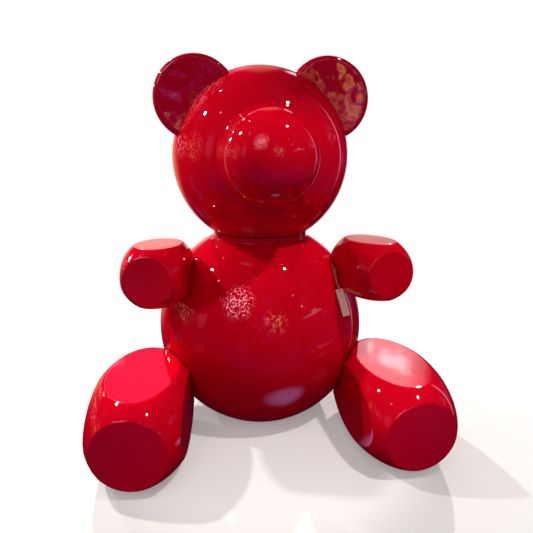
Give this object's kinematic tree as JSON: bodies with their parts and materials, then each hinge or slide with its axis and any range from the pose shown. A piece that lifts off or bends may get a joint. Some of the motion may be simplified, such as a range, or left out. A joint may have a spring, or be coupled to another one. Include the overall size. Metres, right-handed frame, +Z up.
{
  "type": "seated bear display figure",
  "caption": "Seated bear display figure made of glossy lacquered round shells: ball body, turning ball head with muzzle and ears, and faceted egg limbs on bolts, with a blank swing tag.",
  "frame": {"origin": "On the floor, below the middle of the figure's box.", "axes": "+Z up, the figure faces -Y, its left side is +X."},
  "size_m": [0.8736, 0.731, 0.9806],
  "materials": {
    "lacquer": "moulded fibreglass shell under deep candy-red lacquer, mirror gloss",
    "steel": "zinc-plated bolts, plates, washers and nuts",
    "nylon": "machined nylon bushes and slip ring",
    "rubber": "black moulded rubber feet",
    "laminate": "dark glass-fibre laminate plates and band",
    "card": "uncoated off-white card, blank",
    "twine": "thin pale cotton cord"
  },
  "bodies": {
    "torso": {"torso_shell": "lacquer", "base_plate": "laminate", "base_screw_1": "steel", "base_screw_2": "steel", "base_screw_3": "steel", "base_screw_4": "steel", "body_foot_1": "rubber", "body_foot_2": "rubber", "body_foot_3": "rubber", "body_foot_4": "rubber", "neck_bush": "nylon", "neck_slip_ring": "nylon", "left_shoulder_bush": "nylon", "left_hip_bush": "nylon", "right_shoulder_bush": "nylon", "right_hip_bush": "nylon", "swing_tag": "card", "tag_string": "twine"},
    "head": {"head_shell": "lacquer", "head_plate": "laminate", "neck_axle": "steel", "neck_washer": "steel", "neck_nut": "steel", "muzzle_shell": "lacquer", "muzzle_band": "laminate", "left_ear": "lacquer", "left_ear_stud": "steel", "left_ear_nut": "steel", "right_ear": "lacquer", "right_ear_stud": "steel", "right_ear_nut": "steel"},
    "left_arm": {"left_arm_shell": "lacquer", "left_shoulder_plate": "steel", "left_shoulder_axle": "steel", "left_shoulder_washer": "steel", "left_shoulder_nut": "steel"},
    "left_leg": {"left_leg_shell": "lacquer", "left_hip_plate": "steel", "left_hip_axle": "steel", "left_hip_washer": "steel", "left_hip_nut": "steel", "left_leg_pad": "rubber"},
    "right_arm": {"right_arm_shell": "lacquer", "right_shoulder_plate": "steel", "right_shoulder_axle": "steel", "right_shoulder_washer": "steel", "right_shoulder_nut": "steel"},
    "right_leg": {"right_leg_shell": "lacquer", "right_hip_plate": "steel", "right_hip_axle": "steel", "right_hip_washer": "steel", "right_hip_nut": "steel", "right_leg_pad": "rubber"}
  },
  "joints": [
    {"name": "neck_swivel", "type": "hinge", "parent": "torso", "child": "head", "pos_m": [0, 0.07547, 0.252], "axis": [0, 0, 1], "continuous": true},
    {"name": "left_shoulder", "type": "hinge", "parent": "torso", "child": "left_arm", "pos_m": [0, 0.07547, 0.252], "axis": [-0.7647, 0.2936, -0.5736], "range_deg": [-140, 50]},
    {"name": "right_shoulder", "type": "hinge", "parent": "torso", "child": "right_arm", "pos_m": [0, 0.07547, 0.252], "axis": [-0.7647, -0.2936, 0.5736], "range_deg": [-140, 50]},
    {"name": "left_hip", "type": "hinge", "parent": "torso", "child": "left_leg", "pos_m": [0, 0.07547, 0.252], "axis": [-0.8754, 0.4082, 0.2588], "range_deg": [0, 45]},
    {"name": "right_hip", "type": "hinge", "parent": "torso", "child": "right_leg", "pos_m": [0, 0.07547, 0.252], "axis": [-0.8754, -0.4082, -0.2588], "range_deg": [0, 45]}
  ]
}
